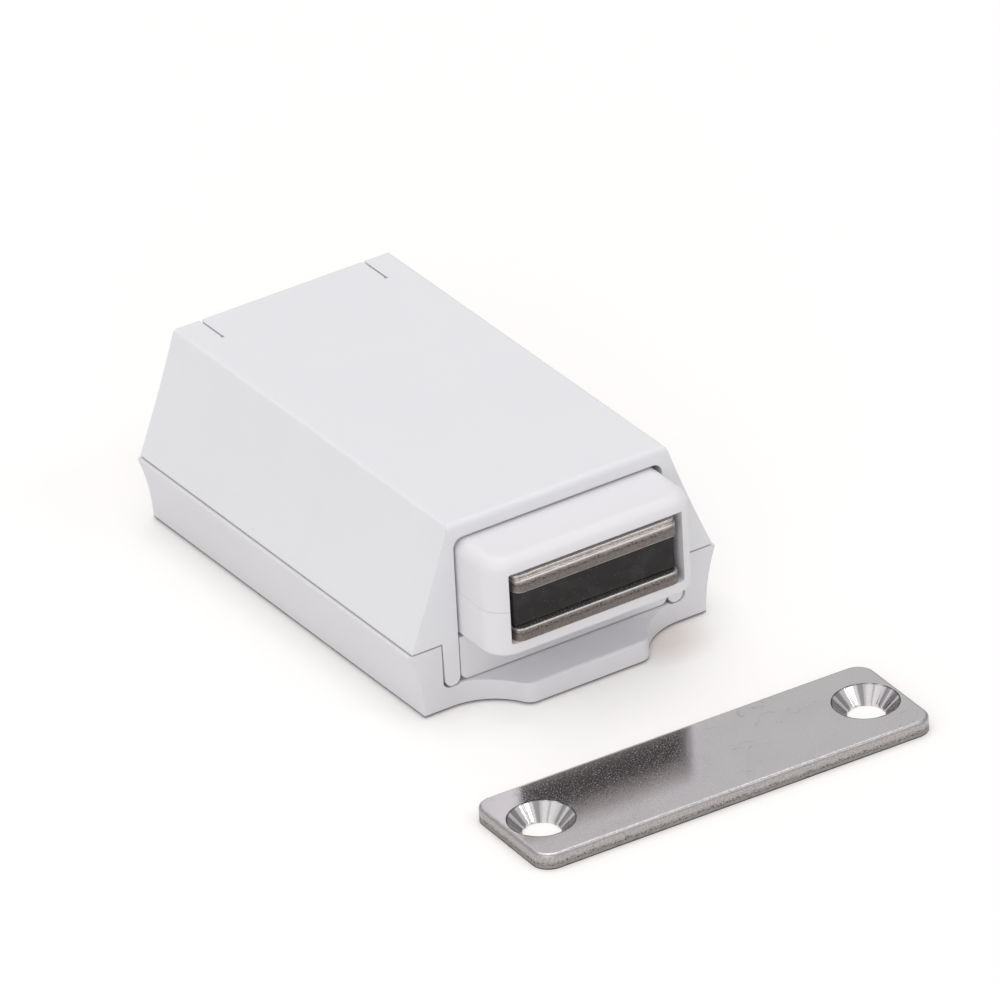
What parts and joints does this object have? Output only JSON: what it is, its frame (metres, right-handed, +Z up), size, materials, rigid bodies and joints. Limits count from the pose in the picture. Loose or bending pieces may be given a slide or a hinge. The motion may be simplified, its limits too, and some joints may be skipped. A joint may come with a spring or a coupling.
{
  "type": "touch latch",
  "caption": "Magnetic push-to-open touch latch for a cabinet door: a boxy plastic housing with a sprung magnet plunger, and a countersunk steel strike plate.",
  "frame": {"origin": "on the housing's mounting face (its underside), at the middle of the line where the front face meets it", "axes": "+Z up out of the mounting face, -Y the way the plunger comes out towards the door, +X to the right across the housing"},
  "size_m": [0.0543, 0.0986, 0.0244],
  "materials": {
    "grey_white_base": "fine moulded texture, satin",
    "grey_white_cover": "fine moulded texture, satin",
    "grey_white_frame": "fine moulded texture, satin",
    "white_plunger": "smooth moulded, satin",
    "ferrite": "sintered, ground, dull black",
    "nickel_plate": "stamped steel, bright nickel plated",
    "zinc_plate": "stamped steel, bright zinc plated",
    "spring_steel": "drawn spring wire and strip",
    "screw_steel": "zinc plated",
    "black_rubber": "matt moulded rubber"
  },
  "bodies": {
    "housing": {"base": "grey_white_base", "cover": "grey_white_cover", "guide_frame": "grey_white_frame", "left_return_spring": "spring_steel", "right_return_spring": "spring_steel", "left_spring_rod": "spring_steel", "right_spring_rod": "spring_steel", "follower_leaf_spring": "spring_steel", "bump_pads": "black_rubber", "frame_screws": "screw_steel", "strike_plate": "zinc_plate"},
    "plunger": {"plunger_lower_shell": "white_plunger", "plunger_upper_shell": "white_plunger", "magnet": "ferrite", "upper_pole_plate": "nickel_plate", "upper_backing_plate": "nickel_plate", "lower_pole_plate": "nickel_plate", "magnet_pad": "black_rubber", "shell_screws": "screw_steel"},
    "follower": {"cam_follower": "spring_steel"}
  },
  "joints": [
    {"name": "plunger_slide", "type": "slide", "parent": "housing", "child": "plunger", "axis": [0, -1, 0], "range_m": [-0.003, 0.012], "deforming": ["left_return_spring", "right_return_spring"]},
    {"name": "follower_swing", "type": "hinge", "parent": "housing", "child": "follower", "pos_m": [0, 0.0385, 0.0055], "axis": [0, 0, 1], "range_deg": [-2.2, 8.7]}
  ],
  "couplings": [
    {"joint": "follower_swing", "follows": "plunger_slide", "rad_per_m": 12.5}
  ]
}
